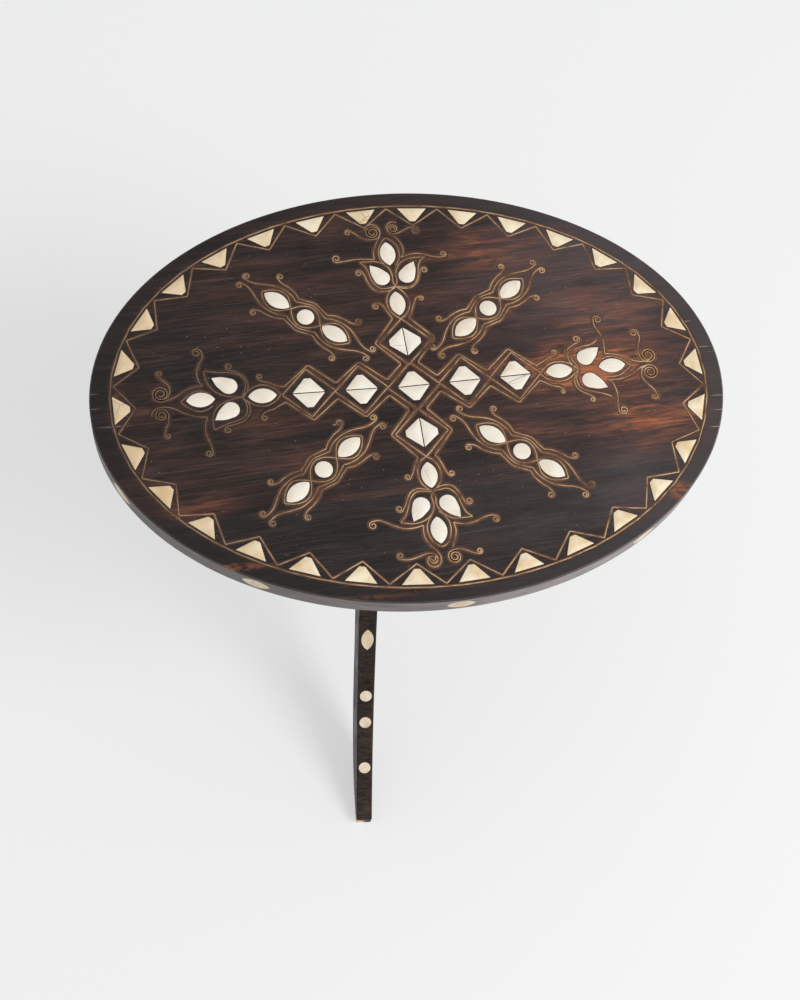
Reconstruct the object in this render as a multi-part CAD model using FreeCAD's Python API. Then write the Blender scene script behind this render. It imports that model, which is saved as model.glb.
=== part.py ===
"""Low tripod stool with an oval top of four planks, inlaid with bone and fine wire.

Three flat, S-curved plank legs lap the faces of a three-sided core post, each one passing the core on the
same side, like the sails of a windmill. Their upper arms carry the top. The pattern on the top is a cross of
split bone diamonds that ends in four flowers, with a group of three bone pieces on each diagonal and a border
of bone triangles under a zigzag wire. All lengths are millimetres. Z is up, and X runs along the oval.
"""
import FreeCAD, Part
import math
import os

# Overall sizes
rim_long = 550.0
rim_short = 396.0
stool_height = 430.0
top_thickness = 21.5
rim_edge_break = 1.2

# Top boards: four equal planks, laid a little askew to the oval, with loose tenons in the joints
plank_count = 4
plank_skew_deg = 3.3
plank_gap = 0.3
plank_tenon_length = 40.0
plank_tenon_width = 24.0
plank_tenon_thickness = 7.0
plank_tenon_spacing = 118.0
plank_tenons_per_joint = 3

# Battens under the top, and the pegs that hold them
batten_offset = 150.0
batten_width = 44.0
batten_thickness = 18.0
batten_length = 288.0
batten_end_slope = 10.0
batten_peg_radius = 4.0
batten_peg_bite = 11.0
batten_peg_outer = 127.0
batten_peg_inner = 48.0

# Core post and legs
core_apothem = 13.5
core_length = 226.5
core_edge_break = 1.0
leg_thickness = 18.0
leg_foot_thickness = 15.6
leg_reach = 281.0
leg_turn_deg = -3.6
leg_edge_break = 1.0
leg_arc_tolerance = 0.4
leg_peg_radius = 4.0
leg_peg_depth = 19.0
leg_peg_proud = 0.8
leg_peg_low_drop = 194.5
leg_peg_high_drop = 72.5
leg_peg_stagger = 13.0
arm_dowel_radius = 4.0
arm_dowel_rise = 10.0
arm_dowel_drop = 22.0
arm_dowel_reach = 68.0
arm_dowel_spacing = 30.0

# Leg outline, as shares of the reach and of the height under the top, from the arm's tip to the toe and back
arm_tip_shares = (0.415, 1.0)
arm_nose_shares = (0.40, 0.945)
outer_edge_shares = ((0.235, 0.845), (0.17, 0.70), (0.25, 0.545), (0.415, 0.395), (0.69, 0.195), (1.0, 0.028))
heel_share = 0.835
inner_edge_shares = ((0.66, 0.062), (0.42, 0.235), (0.19, 0.385))

# Bone and wire stock
bone_depth = 2.4
bone_clearance = 0.35
wire_width = 1.1
wire_depth = 1.5
wire_clearance = 0.1
wire_gap = 0.4
peg_sides = 8
peg_clearance = 0.1
peg_end_room = 1.0
round_step_deg = 20.0

# Bone pieces
diamond_length = 28.4
diamond_height = 28.0
diamond_blunt = 5.4
diamond_split = 0.35
arm_almond_length = 24.6
arm_almond_width = 14.2
diagonal_almond_length = 26.4
diagonal_almond_width = 14.4
petal_length = 24.2
petal_width = 14.2
petal_round_share = 0.42
petal_waist_share = 0.5
petal_bow_share = 0.62
disc_radius = 7.7
triangle_base = 27.0
triangle_height = 14.0
triangle_blunt = 5.0

# Pattern: a cross of four arms, laid out by hand, so that no two arms or corner groups are quite alike
# The tables of the arms run to the right, back, left and front, and those of the groups from back right round
pattern_turn_deg = 1.7
arm_headings_deg = (0.8, 91.0, 178.5, 269.7)
arm_diamonds = (2, 1, 2, 1)
diamond_pitches = (45.1, 43.8, 45.4, 44.8)
inner_almond_reaches = (129.6, 82.3, 130.3, 84.8)
petal_reaches = (159.2, 113.4, 161.8, 115.6)
outer_almond_reaches = (177.6, 133.8, 182.6, 135.2)
petal_shifts = (-0.9, -1.8, 0.0, 0.2)
petal_spread = 13.7
petal_lean_deg = 32.0
lozenge_reach = 22.9
group_place_shares = ((0.302, 0.379), (-0.324, 0.413), (-0.340, -0.381), (0.318, -0.387))
group_headings_deg = (36.4, 140.3, 217.2, 320.6)
group_steps = (29.0, 29.6, 30.1, 29.2)

# Border: the line wire, the triangles on it and the zigzag over them. It was laid out by eye, so its pieces
# drift along it and out from it in slow waves, given by their cosine and sine lengths, once and twice round
border_long_half = 258.6
border_short_half = 184.6
border_count = 30
border_phase = 4.4
border_drift_along = ((0.4, -0.6), (1.7, -1.3))
border_drift_out = ((0.8, -0.7), (0.3, -0.6))
triangle_seat = 2.6
zigzag_depth = 21.0

# Bone almonds along the upright edge of the rim, by their share of the way round it from its +X end
rim_almond_length = 24.5
rim_almond_width = 13.6
rim_almond_shares = (0.101, 0.215, 0.328, 0.455, 0.554, 0.646, 0.76, 0.875, 0.988)

# Bone pieces along the outer edge of each leg, by height above the floor: an almond, then three discs
leg_almond_length = 23.0
leg_almond_width = 12.4
leg_almond_height = 144.0
leg_disc_heights = (97.5, 77.0, 44.5)
leg_disc_radius = 6.0

cut_overrun = 2.0
oval_walk_steps = 1440
height_search_steps = 60

top_face_height = stool_height
top_under_height = stool_height - top_thickness
core_bottom_height = top_under_height - core_length
leg_near_side = -core_apothem
leg_far_side = leg_near_side - leg_thickness
leg_middle_side = (leg_near_side + leg_far_side) / 2
core_face_half = core_apothem * math.sqrt(3)
UP = FreeCAD.Vector(0, 0, 1)


def point(x, y, z=0.0):
    return FreeCAD.Vector(x, y, z)


def turned(shape, degrees):
    copy = shape.copy()
    copy.rotate(point(0, 0), UP, degrees)
    return copy


def placed(shape, x, y, degrees=0.0):
    copy = turned(shape, degrees)
    copy.translate(point(x, y))
    return copy


def polygon(points):
    return Part.Face(Part.makePolygon(list(points) + [points[0]]))


def prism(face, low, high):
    solid = face.extrude(point(0, 0, high - low))
    solid.translate(point(0, 0, low))
    return solid


def peg(radius, start, direction, length):
    """A whittled peg, with flat sides."""
    turn = FreeCAD.Rotation(UP, direction)
    angles = [2 * math.pi * (number + 0.5) / peg_sides for number in range(peg_sides)]
    section = [point(radius * math.cos(angle), radius * math.sin(angle)) for angle in angles]
    return polygon([start + turn.multVec(corner) for corner in section]).extrude(direction * length)


def group(shapes):
    return Part.makeCompound(shapes)


def near(box, other):
    return box.intersect(other)


def cut_by(solid, tools):
    close = [tool for tool in tools if near(solid.BoundBox, tool.BoundBox)]
    if not close:
        return solid
    return solid.cut(close).Solids[0]


# Flat outlines of the bone pieces, centred on the origin and grown by the gap that the mastic fills

def filed_arc(start, middle, end):
    """Points of a round stretch, filed in short flats, from its start up to but without its end."""
    arc = Part.Arc(start, middle, end)
    turn = arc.LastParameter - arc.FirstParameter
    flats = max(1, round(math.degrees(turn) / round_step_deg))
    return [arc.value(arc.FirstParameter + turn * number / flats) for number in range(flats)]


def almond_face(length, width, grow=0.0):
    half = length / 2 + grow
    side = width / 2 + grow
    upper = filed_arc(point(-half, 0), point(0, side), point(half, 0))
    lower = filed_arc(point(half, 0), point(0, -side), point(-half, 0))
    return polygon(upper + lower)


def petal_face(length, width, grow=0.0):
    """A teardrop: a round end towards -X and a point towards +X."""
    tail = -length / 2 - grow
    tip = length / 2 + grow
    side = width / 2 + grow
    wide = tail + petal_round_share * (tip - tail)
    waist = wide + (tip - wide) * petal_waist_share
    back = filed_arc(point(wide, -side), point(tail, 0), point(wide, side))
    upper = filed_arc(point(wide, side), point(waist, side * petal_bow_share), point(tip, 0))
    lower = filed_arc(point(tip, 0), point(waist, -side * petal_bow_share), point(wide, -side))
    return polygon(back + upper + lower)


def disc_face(radius, grow=0.0):
    reach = radius + grow
    return polygon(filed_arc(point(-reach, 0), point(0, reach), point(reach, 0))
                   + filed_arc(point(reach, 0), point(0, -reach), point(-reach, 0)))


def blunt_triangle_face(base, height, blunt, grow=0.0):
    """A triangle on the line Y = 0 that points towards +Y, with its top corner cut off."""
    slope = math.atan2(height, (base - blunt) / 2)
    foot = base / 2 + grow * (1 / math.sin(slope) + 1 / math.tan(slope))
    head = blunt / 2 + grow * (1 / math.sin(slope) - 1 / math.tan(slope))
    return polygon([point(-foot, -grow), point(foot, -grow),
                    point(head, height + grow), point(-head, height + grow)])


# Places on an oval, found by walking along it

def oval_point(long_half, short_half, angle):
    return point(long_half * math.cos(angle), short_half * math.sin(angle))


def oval_heading(long_half, short_half, angle):
    return math.atan2(short_half * math.cos(angle), -long_half * math.sin(angle))


def oval_angles(long_half, short_half, shares, drifts):
    """Angles of places on the oval, each at its share of the way round and then its drift further."""
    angles = [2 * math.pi * index / oval_walk_steps for index in range(oval_walk_steps + 1)]
    walked = [0.0]
    for before, after in zip(angles, angles[1:]):
        step = oval_point(long_half, short_half, after) - oval_point(long_half, short_half, before)
        walked.append(walked[-1] + step.Length)
    places = []
    for share, drift in zip(shares, drifts):
        goal = (drift + walked[-1] * share) % walked[-1]
        ahead = next(number for number, distance in enumerate(walked) if distance > goal)
        part = (goal - walked[ahead - 1]) / (walked[ahead] - walked[ahead - 1])
        places.append(angles[ahead - 1] + part * (angles[ahead] - angles[ahead - 1]))
    return places


def wave(drift, share):
    """The drift at a share of the way round, from the lengths of its cosine and sine waves."""
    turns = [2 * math.pi * share * (number + 1) for number in range(len(drift))]
    return sum(cosine * math.cos(turn) + sine * math.sin(turn) for (cosine, sine), turn in zip(drift, turns))


def border_places(count):
    """Foot and heading of equally spaced places on the border line, with their drift."""
    shares = [number / count for number in range(count)]
    drifts = [border_phase + wave(border_drift_along, share) for share in shares]
    places = []
    for share, angle in zip(shares, oval_angles(border_long_half, border_short_half, shares, drifts)):
        heading = oval_heading(border_long_half, border_short_half, angle)
        outward = point(math.sin(heading), -math.cos(heading))
        foot = oval_point(border_long_half, border_short_half, angle)
        places.append((foot + outward * wave(border_drift_out, share), heading))
    return places


# Every bone piece of the top, as a function that gives its outline at its place for a given growth

def out_along(heading, distance):
    return FreeCAD.Rotation(UP, heading).multVec(point(distance, 0))


def diamond_places():
    """Middle and split direction of each diamond of the cross, the middle one first."""
    places = [(point(0, 0), arm_headings_deg[0])]
    for heading, count, pitch in zip(arm_headings_deg, arm_diamonds, diamond_pitches):
        for number in range(1, count + 1):
            places.append((out_along(heading, number * pitch), heading))
    return places


def diamond_outlines(grow):
    halves = []
    height = (diamond_height - diamond_split) / 2
    for middle, heading in diamond_places():
        for flip in (0, 180):
            half = blunt_triangle_face(diamond_length, height, diamond_blunt, grow)
            half = placed(half, 0, diamond_split / 2)
            halves.append(placed(half, middle.x, middle.y, heading + flip))
    return halves


def arm_almond_outlines(grow):
    almond = almond_face(arm_almond_length, arm_almond_width, grow)
    outlines = []
    for reaches in (inner_almond_reaches, outer_almond_reaches):
        for heading, reach in zip(arm_headings_deg, reaches):
            outlines.append(turned(placed(almond, reach, 0), heading))
    return outlines


def petal_outlines(grow):
    outlines = []
    for heading, reach, shift in zip(arm_headings_deg, petal_reaches, petal_shifts):
        for side in (-1, 1):
            petal = placed(petal_face(petal_length, petal_width, grow), reach,
                           side * petal_spread + shift, side * petal_lean_deg)
            outlines.append(turned(petal, heading))
    return outlines


def in_groups(face, sides):
    """The face, repeated in each corner group: at its middle for side 0, or a step towards either end."""
    outlines = []
    for (long_share, short_share), heading, step in zip(group_place_shares, group_headings_deg, group_steps):
        for side in sides:
            outlines.append(placed(placed(face, side * step, 0), long_share * border_long_half,
                                   short_share * border_short_half, heading))
    return outlines


def diagonal_almond_outlines(grow):
    return in_groups(almond_face(diagonal_almond_length, diagonal_almond_width, grow), (-1, 1))


def diagonal_disc_outlines(grow):
    return in_groups(disc_face(disc_radius, grow), (0,))


def border_triangle_outlines(grow):
    triangle = blunt_triangle_face(triangle_base, triangle_height, triangle_blunt, grow)
    seated = placed(triangle, 0, triangle_seat)
    return [placed(seated, foot.x, foot.y, math.degrees(heading))
            for foot, heading in border_places(border_count)]


# Wires let into the top

def ring_face(outer, inner):
    return Part.Face(outer).cut(Part.Face(inner)).Faces[0]


def oval_wire(long_half, short_half):
    return Part.Wire(Part.Ellipse(point(0, 0), long_half, short_half).toShape())


def closed_band_face(points, half):
    """A band of the given half width along a closed run of straight lines, with mitred corners."""
    loops = []
    for side in (1, -1):
        loop = []
        for before, corner, after in zip(points[-1:] + points[:-1], points, points[1:] + points[:1]):
            arriving = (corner - before).normalize()
            leaving = (after - corner).normalize()
            along = (arriving + leaving).normalize()
            normal = point(-along.y, along.x)
            mitre = half / normal.dot(point(-leaving.y, leaving.x))
            loop.append(corner + normal * (side * mitre))
        loops.append(Part.makePolygon(loop + [loop[0]]))
    outer = max(loops, key=lambda loop: loop.BoundBox.DiagonalLength)
    inner = min(loops, key=lambda loop: loop.BoundBox.DiagonalLength)
    return ring_face(outer, inner)


def border_line_face(grow):
    """The line runs straight past the middle of each triangle and half way between two of them."""
    corners = [foot for foot, _ in border_places(4 * border_count)[1::2]]
    return closed_band_face(corners, wire_width / 2 + grow)


def zigzag_face(grow):
    """Two corners for each triangle: a peak inside it, and a valley beside the line half way to the next."""
    valley_inset = wire_width * 2 + wire_gap
    corners = []
    for number, (foot, heading) in enumerate(border_places(2 * border_count)):
        inset = zigzag_depth if number % 2 == 0 else valley_inset
        inward = point(-math.sin(heading), math.cos(heading))
        corners.append(foot + inward * inset)
    return closed_band_face(corners, wire_width / 2 + grow)


def lozenge_faces(grow):
    """A square frame round each diamond, whose corners cross those of the next frame."""
    faces = []
    for middle, _ in diamond_places():
        corners = [middle + point(lozenge_reach, 0), middle + point(0, lozenge_reach),
                   middle - point(lozenge_reach, 0), middle - point(0, lozenge_reach)]
        faces.append(closed_band_face(corners, wire_width / 2 + grow))
    return faces


# The top

def oval_slab():
    face = Part.Face(oval_wire(rim_long / 2, rim_short / 2))
    slab = prism(face, top_under_height, top_face_height)
    rims = [edge for edge in slab.Edges if abs(edge.BoundBox.ZMax - edge.BoundBox.ZMin) < rim_edge_break]
    return slab.makeChamfer(rim_edge_break, rims)


def plank_joint_heights():
    width = rim_short / plank_count
    return [-rim_short / 2 + width * number for number in range(1, plank_count)]


def plank_blanks(slab):
    edges = [-rim_short] + plank_joint_heights() + [rim_short]
    blanks = []
    for low, high in zip(edges, edges[1:]):
        strip = Part.makeBox(2 * rim_long, high - low - plank_gap, top_thickness + 2 * cut_overrun,
                             point(-rim_long, low + plank_gap / 2, top_under_height - cut_overrun))
        blanks.append(slab.common(turned(strip, plank_skew_deg)).Solids[0])
    return blanks


def plank_tenons(grow, end_room):
    """Loose tenons across each joint, half way through the thickness."""
    tenons = []
    width = plank_tenon_width + 2 * grow
    length = plank_tenon_length + 2 * end_room
    thickness = plank_tenon_thickness + 2 * grow
    low = top_under_height + (top_thickness - thickness) / 2
    middle = (plank_tenons_per_joint - 1) / 2
    for joint in plank_joint_heights():
        for number in range(plank_tenons_per_joint):
            corner = point((number - middle) * plank_tenon_spacing - width / 2, joint - length / 2, low)
            tenons.append(turned(Part.makeBox(width, length, thickness, corner), plank_skew_deg))
    return tenons


def batten(side):
    """A cleat across the planks, with its lower corners sloped off at both ends."""
    half = batten_length / 2
    low = top_under_height - batten_thickness
    outline = [point(0, -half, top_under_height), point(0, half, top_under_height),
               point(0, half - batten_end_slope, low), point(0, -half + batten_end_slope, low)]
    body = polygon(outline).extrude(point(batten_width, 0))
    body.translate(point(side * batten_offset - batten_width / 2, 0))
    return body


def batten_peg_solids(grow, end_room):
    pegs = []
    length = batten_thickness + batten_peg_bite + end_room
    for side in (-1, 1):
        for y in (-batten_peg_outer, -batten_peg_inner, batten_peg_inner, batten_peg_outer):
            start = point(side * batten_offset, y, top_under_height - batten_thickness)
            pegs.append(peg(batten_peg_radius + grow, start, UP, length))
    return pegs


# The base. A leg is drawn standing in the XZ plane, reaching towards +X, and then turned to its place

def leg_headings():
    return [270 + leg_turn_deg, 30 + leg_turn_deg, 150 + leg_turn_deg]


def leg_spot(shares):
    return point(shares[0] * leg_reach, 0, shares[1] * top_under_height)


def curve_through(points):
    curve = Part.BSplineCurve()
    curve.interpolate(points)
    return curve


def leg_outer_curve():
    return curve_through([leg_spot(arm_nose_shares)] + [leg_spot(shares) for shares in outer_edge_shares])


def leg_outline():
    back_top = point(-core_face_half, 0, top_under_height)
    arm_tip = leg_spot(arm_tip_shares)
    arm_nose = leg_spot(arm_nose_shares)
    toe_top = leg_spot(outer_edge_shares[-1])
    toe = point(leg_reach, 0, 0)
    heel = point(heel_share * leg_reach, 0, 0)
    back_low = point(-core_face_half, 0, core_bottom_height)
    outer = leg_outer_curve()
    inner = curve_through([heel] + [leg_spot(shares) for shares in inner_edge_shares] + [back_low])
    edges = [Part.makeLine(back_top, arm_tip), Part.makeLine(arm_tip, arm_nose)]
    edges += [arc.toShape() for arc in outer.toBiArcs(leg_arc_tolerance)]
    edges += [Part.makeLine(toe_top, toe), Part.makeLine(toe, heel)]
    edges += [arc.toShape() for arc in inner.toBiArcs(leg_arc_tolerance)]
    edges.append(Part.makeLine(back_low, back_top))
    return Part.Face(Part.Wire(edges))


def is_long_leg_edge(edge):
    """True for the edges that run down the leg and are free to be worn round."""
    box = edge.BoundBox
    runs_down = box.YLength < leg_thickness / 2 and box.ZLength > 2 * leg_edge_break
    return runs_down and box.XMin > leg_edge_break - core_face_half


def leg_blank():
    """The plank, cut to its outline, planed thinner on both sides from the core down, with broken edges."""
    plank = leg_outline().extrude(point(0, leg_thickness))
    plank.translate(point(0, leg_far_side))
    trim = (leg_thickness - leg_foot_thickness) / 2
    section = polygon([point(0, leg_near_side, top_under_height), point(0, leg_near_side, core_bottom_height),
                       point(0, leg_near_side - trim, 0), point(0, leg_far_side + trim, 0),
                       point(0, leg_far_side, core_bottom_height), point(0, leg_far_side, top_under_height)])
    taper = section.extrude(point(leg_reach + core_face_half + 2 * cut_overrun, 0))
    taper.translate(point(-core_face_half - cut_overrun, 0))
    plank = plank.common(taper).Solids[0]
    return plank.makeChamfer(leg_edge_break, [edge for edge in plank.Edges if is_long_leg_edge(edge)])


def spot_on_outer_edge(height):
    """Place and downward direction of the leg's outer edge at a height above the floor."""
    curve = leg_outer_curve()
    low, high = curve.FirstParameter, curve.LastParameter
    for _ in range(height_search_steps):
        middle = (low + high) / 2
        if curve.value(middle).z > height:
            low = middle
        else:
            high = middle
    direction = curve.tangent(low)[0]
    if direction.z > 0:
        direction = direction * -1
    return curve.value(low), direction


def on_leg_edge(face, height, depth):
    """Stand a flat outline on the outer edge, its X down the leg, and sink it by the given depth."""
    spot, down = spot_on_outer_edge(height)
    across = point(0, 1)
    outward = down.cross(across).normalize()
    if outward.z < 0:
        outward = outward * -1
        across = across * -1
    solid = face.extrude(point(0, 0, depth + cut_overrun))
    solid.translate(point(0, 0, -depth))
    matrix = FreeCAD.Matrix(down.x, across.x, outward.x, spot.x,
                            down.y, across.y, outward.y, leg_middle_side,
                            down.z, across.z, outward.z, spot.z,
                            0, 0, 0, 1)
    return solid.transformGeometry(matrix)


def leg_inlay_prisms(grow):
    almond = almond_face(leg_almond_length, leg_almond_width, grow)
    prisms = [on_leg_edge(almond, leg_almond_height, bone_depth)]
    for height in leg_disc_heights:
        prisms.append(on_leg_edge(disc_face(leg_disc_radius, grow), height, bone_depth))
    return prisms


def leg_peg_solids(number, grow, end_room):
    """Two pegs through the leg into the core, at heights that differ from leg to leg so that they pass."""
    pegs = []
    outside = leg_far_side - leg_peg_proud
    length = leg_thickness + leg_peg_proud + leg_peg_depth + end_room
    for drop in (leg_peg_low_drop, leg_peg_high_drop):
        start = point(0, outside, top_under_height - drop + number * leg_peg_stagger)
        pegs.append(peg(leg_peg_radius + grow, start, point(0, 1), length))
    return pegs


def arm_dowel_solids(grow, end_room):
    pegs = []
    length = arm_dowel_drop + arm_dowel_rise + 2 * end_room
    for reach in (arm_dowel_reach, arm_dowel_reach + arm_dowel_spacing):
        start = point(reach, leg_middle_side, top_under_height - arm_dowel_drop - end_room)
        pegs.append(peg(arm_dowel_radius + grow, start, UP, length))
    return pegs


def core_post():
    corners = [point(-core_face_half, leg_near_side), point(core_face_half, leg_near_side),
               point(0, 2 * core_apothem)]
    post = prism(polygon(corners), core_bottom_height, top_under_height)
    low_edges = [edge for edge in post.Edges if edge.BoundBox.ZMax < core_bottom_height + core_edge_break]
    return post.makeChamfer(core_edge_break, low_edges)


def top_bone_outlines(grow):
    """Outlines of all bone pieces of the top, by the name of their sub-part."""
    turned_groups = {
        "diamond_halves": diamond_outlines(grow),
        "arm_almonds": arm_almond_outlines(grow),
        "flower_petals": petal_outlines(grow),
        "diagonal_almonds": diagonal_almond_outlines(grow),
        "diagonal_discs": diagonal_disc_outlines(grow),
    }
    outlines = {}
    for name, faces in turned_groups.items():
        outlines[name] = [turned(face, pattern_turn_deg) for face in faces]
    outlines["border_triangles"] = border_triangle_outlines(grow)
    return outlines


def top_bone():
    """The bone pieces of the top, flush with it, and the pockets that they sit in."""
    low = top_face_height - bone_depth
    pieces = {}
    pockets = []
    for name, faces in top_bone_outlines(0.0).items():
        pieces[name] = group([prism(face, low, top_face_height) for face in faces])
    for faces in top_bone_outlines(bone_clearance).values():
        pockets += [prism(face, low, top_face_height + cut_overrun) for face in faces]
    return pieces, pockets


def wire_faces(grow):
    return {
        "border_wire": [border_line_face(grow)],
        "zigzag_wire": [zigzag_face(grow)],
        "lozenge_wires": [turned(face, pattern_turn_deg) for face in lozenge_faces(grow)],
    }


def top_wires():
    """The wires, flush with the top, and their grooves. Frames that meet at a corner are one wire."""
    low = top_face_height - wire_depth
    pieces = {}
    grooves = []
    for name, faces in wire_faces(0.0).items():
        bands = [prism(face, low, top_face_height) for face in faces]
        pieces[name] = bands[0].fuse(bands[1:]).removeSplitter() if len(bands) > 1 else bands[0]
    for faces in wire_faces(wire_clearance).values():
        grooves += [prism(face, low, top_face_height + cut_overrun) for face in faces]
    return pieces, grooves


def rim_almond_prisms(grow):
    """Almonds that lie along the upright edge of the rim, half way down it, and reach out past it."""
    prisms = []
    middle_height = top_under_height + top_thickness / 2
    still = [0.0] * len(rim_almond_shares)
    for angle in oval_angles(rim_long / 2, rim_short / 2, rim_almond_shares, still):
        spot = oval_point(rim_long / 2, rim_short / 2, angle)
        heading = oval_heading(rim_long / 2, rim_short / 2, angle)
        along = point(math.cos(heading), math.sin(heading))
        outward = point(math.sin(heading), -math.cos(heading))
        matrix = FreeCAD.Matrix(along.x, 0, outward.x, spot.x,
                                along.y, 0, outward.y, spot.y,
                                0, 1, 0, middle_height,
                                0, 0, 0, 1)
        almond = almond_face(rim_almond_length, rim_almond_width, grow)
        solid = almond.extrude(point(0, 0, bone_depth + cut_overrun))
        solid.translate(point(0, 0, -bone_depth))
        prisms.append(solid.transformGeometry(matrix))
    return prisms


def legs():
    """The three legs with their bone pieces."""
    blank = leg_blank()
    inlays = [blank.common(solid).Solids[0] for solid in leg_inlay_prisms(0.0)]
    pieces = {}
    for number, (name, heading) in enumerate(zip(("leg_front", "leg_right", "leg_left"), leg_headings())):
        tools = leg_inlay_prisms(bone_clearance)
        tools += leg_peg_solids(number, peg_clearance, 0.0)
        tools += arm_dowel_solids(peg_clearance, peg_end_room)
        pieces[name] = turned(cut_by(blank, tools), heading)
        pieces[name + "_inlays"] = group([turned(solid, heading) for solid in inlays])
    return pieces


def all_leg_pegs(grow, end_room):
    return [turned(solid, heading) for number, heading in enumerate(leg_headings())
            for solid in leg_peg_solids(number, grow, end_room)]


def all_arm_dowels(grow, end_room):
    return [turned(solid, heading) for heading in leg_headings()
            for solid in arm_dowel_solids(grow, end_room)]


def build():
    slab = oval_slab()
    bone, pockets = top_bone()
    wires, grooves = top_wires()

    parts = {}
    plank_tools = pockets + grooves + rim_almond_prisms(bone_clearance)
    plank_tools += plank_tenons(peg_clearance, peg_end_room)
    plank_tools += batten_peg_solids(peg_clearance, peg_end_room)
    plank_tools += all_arm_dowels(peg_clearance, peg_end_room)
    plank_names = ("top_plank_front", "top_plank_mid_front", "top_plank_mid_back", "top_plank_back")
    for name, plank in zip(plank_names, plank_blanks(slab)):
        parts[name] = cut_by(plank, plank_tools)
    parts["plank_tenons"] = group(plank_tenons(0.0, 0.0))

    parts["batten_left"] = cut_by(batten(-1), batten_peg_solids(peg_clearance, 0.0))
    parts["batten_right"] = cut_by(batten(1), batten_peg_solids(peg_clearance, 0.0))
    parts["batten_pegs"] = group(batten_peg_solids(0.0, 0.0))

    post = turned(core_post(), leg_headings()[0])
    parts["core_post"] = cut_by(post, all_leg_pegs(peg_clearance, peg_end_room))
    parts.update(legs())
    parts["leg_pegs"] = group(all_leg_pegs(0.0, 0.0))
    parts["arm_dowels"] = group(all_arm_dowels(0.0, 0.0))

    parts.update(bone)
    parts["rim_almonds"] = group([slab.common(solid).Solids[0] for solid in rim_almond_prisms(0.0)])
    parts.update(wires)
    return parts


def main():
    os.makedirs("parts", exist_ok=True)
    parts = build()
    whole = group(list(parts.values())).optimalBoundingBox(False, False)
    to_origin = point(-(whole.XMin + whole.XMax) / 2, -(whole.YMin + whole.YMax) / 2, -whole.ZMin)
    for name, shape in parts.items():
        shape.translate(to_origin)
        shape.exportStep("parts/%s.step" % name)
        report = (name, len(shape.Solids), shape.Volume, shape.isValid())
        print("%-20s solids %3d  volume %10.1f  valid %s" % report)
    print("origin moved by %.3f %.3f" % (to_origin.x, to_origin.y))


main()
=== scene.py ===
"""The looks of the inlaid oval stool: worn dark wood, bone, mastic and wire scrolls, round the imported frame.

The pattern is laid out in millimetres on the top, from the oval's middle, X along the oval, and turned a
little to it. Each wire is a run of points in those terms, and one function puts them on the top.
"""
import bpy
import math
import random
from mathutils import Matrix, Vector, noise


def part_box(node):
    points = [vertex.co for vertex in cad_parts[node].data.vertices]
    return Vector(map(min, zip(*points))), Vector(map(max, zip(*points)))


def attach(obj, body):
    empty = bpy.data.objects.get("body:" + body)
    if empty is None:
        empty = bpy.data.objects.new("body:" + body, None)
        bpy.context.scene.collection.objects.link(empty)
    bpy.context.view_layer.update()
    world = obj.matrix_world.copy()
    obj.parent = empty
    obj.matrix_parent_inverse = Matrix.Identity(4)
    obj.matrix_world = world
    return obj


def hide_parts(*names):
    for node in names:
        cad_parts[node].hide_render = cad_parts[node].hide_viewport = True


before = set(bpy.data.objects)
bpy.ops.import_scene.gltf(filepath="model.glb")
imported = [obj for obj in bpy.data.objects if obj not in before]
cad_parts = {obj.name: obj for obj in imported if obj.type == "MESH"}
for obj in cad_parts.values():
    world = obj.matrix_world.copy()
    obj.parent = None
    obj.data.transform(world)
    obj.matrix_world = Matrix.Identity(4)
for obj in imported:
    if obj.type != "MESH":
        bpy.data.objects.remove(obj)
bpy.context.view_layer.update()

MM = 0.001

# The top's place and size, from the frame
PLANKS = ("top_plank_front", "top_plank_mid_front", "top_plank_mid_back", "top_plank_back")
plank_boxes = [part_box(name) for name in PLANKS]
top_low = Vector([min(box[0][axis] for box in plank_boxes) for axis in range(3)])
top_high = Vector([max(box[1][axis] for box in plank_boxes) for axis in range(3)])
top_middle = Vector(((top_low.x + top_high.x) / 2, (top_low.y + top_high.y) / 2, top_high.z))
top_half_length = (top_high.x - top_low.x) / 2

# The pattern, in millimetres and degrees, as the pockets of the planks have it
pattern_turn = 1.7
arm_headings = (0.8, 91.0, 178.5, 269.7)
arm_diamonds = (2, 1, 2, 1)
diamond_pitches = (45.1, 43.8, 45.4, 44.8)
inner_almond_reaches = (129.6, 82.3, 130.3, 84.8)
petal_reaches = (159.2, 113.4, 161.8, 115.6)
outer_almond_reaches = (177.6, 133.8, 182.6, 135.2)
petal_shifts = (-0.9, -1.8, 0.0, 0.2)
petal_spread = 13.7
petal_lean = 32.0
lozenge_reach = 22.9
frame_draws = (0.98, 1.02, 0.98, 1.0)
frame_peak = 26.5
frame_valley = 7.4
group_places = ((78.1, 70.0), (-83.8, 76.2), (-87.9, -70.3), (82.2, -71.4))
group_headings = (36.4, 140.3, 217.2, 320.6)
group_steps = (29.0, 29.6, 30.1, 29.2)
diamond_length = 28.4
diamond_height = 28.0
diamond_blunt = 5.4
diamond_split = 0.35
arm_almond = (24.6, 14.2)
group_almond = (26.4, 14.4)
petal = (24.2, 14.2)
petal_round_share = 0.42
petal_bow_share = 0.68
disc_radius = 7.7
triangle = (27.0, 14.0, 5.0)
triangle_seat = 2.6
border_half = (258.6, 184.6)
border_count = 30
border_phase = 4.4
border_drift_along = ((0.4, -0.6), (1.7, -1.3))
border_drift_out = ((0.8, -0.7), (0.3, -0.6))
zigzag_depth = 21.0
zigzag_inset = 2.6

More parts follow.
